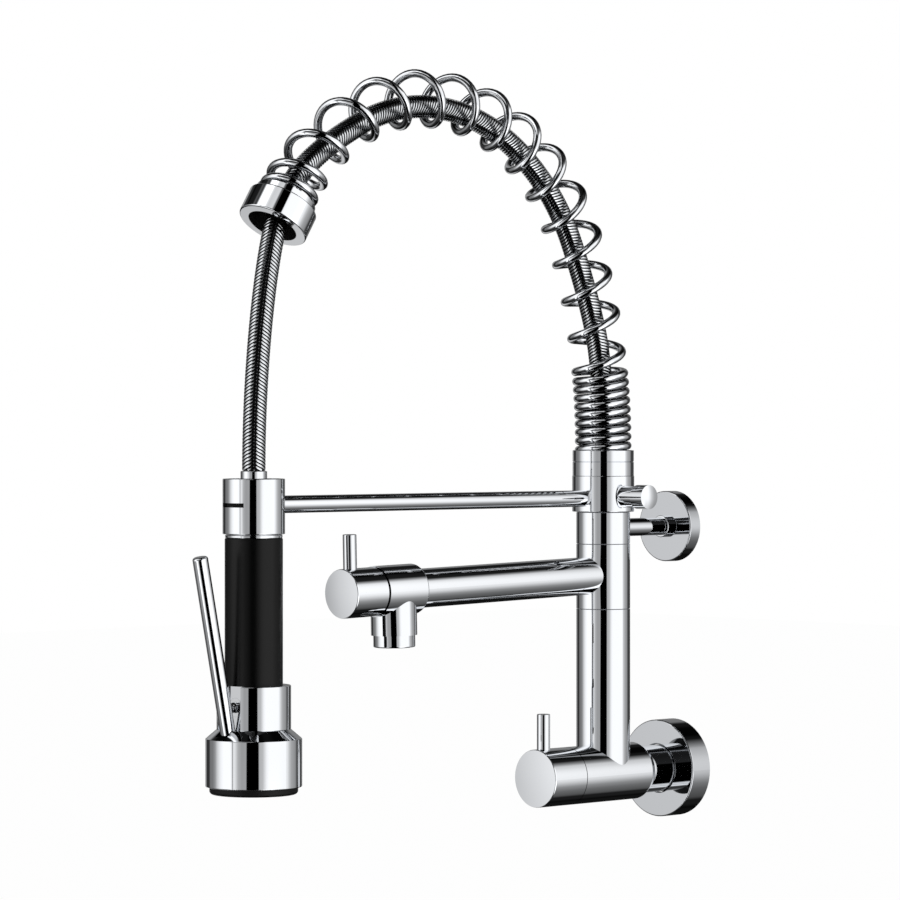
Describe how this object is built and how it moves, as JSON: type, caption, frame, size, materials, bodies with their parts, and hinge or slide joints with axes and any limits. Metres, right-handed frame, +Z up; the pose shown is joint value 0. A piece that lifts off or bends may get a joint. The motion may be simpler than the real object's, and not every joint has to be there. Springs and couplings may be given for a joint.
{
  "type": "wall-mounted kitchen faucet",
  "caption": "Wall-mounted chrome kitchen faucet: a column with a pin-handled valve, a swivel spout with its own valve, and a spring-arched hose to a docked lever spray.",
  "frame": {"origin": "centre of the water inlet, on the wall's face", "axes": "+Y into the wall, -Y out into the room along the valve and the spout, +Z up the column"},
  "size_m": [0.0694, 0.4078, 0.4511],
  "materials": {
    "chrome": "polished",
    "brass": "machined",
    "steel": "brushed",
    "ceramic": "lapped",
    "black_rubber": "matte",
    "black_grip": "satin",
    "grey_plastic": "moulded",
    "braided_hose": "steel braid over a lined hose"
  },
  "bodies": {
    "column": {"inlet_flange": "chrome", "inlet_nipple": "brass", "inlet_union": "chrome", "inlet_washer": "black_rubber", "valve_barrel": "chrome", "valve_seat_seal": "black_rubber", "valve_fixed_disc": "ceramic", "valve_cartridge_body": "brass", "valve_cartridge_nut": "brass", "lower_column": "chrome", "swivel_stem": "brass", "spout_o_rings": "black_rubber", "slip_washers": "grey_plastic", "upper_column": "chrome", "bracket_arm": "chrome", "bracket_ring": "chrome", "bracket_flange": "chrome", "bracket_plate": "steel"},
    "valve_handle": {"valve_knob": "chrome", "valve_knob_pin": "chrome", "valve_spindle": "brass", "valve_moving_disc": "ceramic"},
    "swivel_spout": {"spout_sleeve": "chrome", "spout_tube": "chrome", "spout_tee": "chrome", "spout_seat_seal": "black_rubber", "spout_fixed_disc": "ceramic", "spout_cartridge_body": "brass", "spout_cartridge_nut": "brass", "aerator_housing": "chrome", "aerator_screen": "grey_plastic", "aerator_washer": "black_rubber"},
    "spout_handle": {"spout_knob": "chrome", "spout_knob_pin": "chrome", "spout_spindle": "brass", "spout_moving_disc": "ceramic"},
    "dock_arm": {"dock_collar": "chrome", "dock_rod": "chrome", "dock_ring": "chrome", "spring_ferrule": "chrome", "arch_spring": "chrome", "spring_cap": "chrome", "hose_arch": "braided_hose", "hose_tail": "brass", "hose_drop": "braided_hose"},
    "thumbscrew": {"thumbscrew": "chrome", "thumbscrew_pad": "grey_plastic"},
    "hose_end": {"hose_nut": "chrome"},
    "spray_head": {"spray_neck": "chrome", "spray_core": "brass", "spray_grip": "black_grip", "spray_body": "chrome", "spray_bell": "chrome", "spray_face": "black_rubber", "plunger_bush": "brass", "lever_pivot_pin": "steel", "plunger_spring": "steel"},
    "spray_lever": {"spray_lever": "chrome"},
    "plunger": {"plunger": "steel", "plunger_seal": "black_rubber"}
  },
  "joints": [
    {"name": "valve_turn", "type": "hinge", "parent": "column", "child": "valve_handle", "pos_m": [0, -0.1, 0], "axis": [0, 1, 0], "range_deg": [0, 90]},
    {"name": "spout_swivel", "type": "hinge", "parent": "column", "child": "swivel_spout", "pos_m": [0, -0.064, 0.12], "axis": [0, 0, 1], "range_deg": [-90, 90]},
    {"name": "spout_valve_turn", "type": "hinge", "parent": "swivel_spout", "child": "spout_handle", "pos_m": [0, -0.064, 0.1213], "axis": [0, 0.9997, 0.0244], "range_deg": [0, 90]},
    {"name": "dock_swivel", "type": "hinge", "parent": "column", "child": "dock_arm", "pos_m": [0, -0.064, 0.17], "axis": [0, 0, 1], "range_deg": [-90, 90]},
    {"name": "thumbscrew_turn", "type": "hinge", "parent": "dock_arm", "child": "thumbscrew", "pos_m": [0, -0.064, 0.1693], "axis": [1, 0, 0], "range_deg": [0, 360]},
    {"name": "spray_pull", "type": "slide", "parent": "dock_arm", "child": "hose_end", "axis": [0, 0, -1], "range_m": [0, 0.045], "deforming": ["hose_drop"]},
    {"name": "spray_turn", "type": "hinge", "parent": "hose_end", "child": "spray_head", "pos_m": [0, -0.348, 0.1], "axis": [0, 0, 1], "continuous": true},
    {"name": "lever_squeeze", "type": "hinge", "parent": "spray_head", "child": "spray_lever", "pos_m": [0, -0.3666, 0.0375], "axis": [-1, 0, 0], "range_deg": [0, 7], "stiffness_Nm_per_rad": 1.5, "springref_deg": -5.73},
    {"name": "plunger_press", "type": "slide", "parent": "spray_head", "child": "plunger", "axis": [0, 1, 0], "range_m": [0, 0.002], "deforming": ["plunger_spring"]}
  ],
  "couplings": [
    {"joint": "plunger_press", "follows": "lever_squeeze", "m_per_rad": 0.0161}
  ]
}
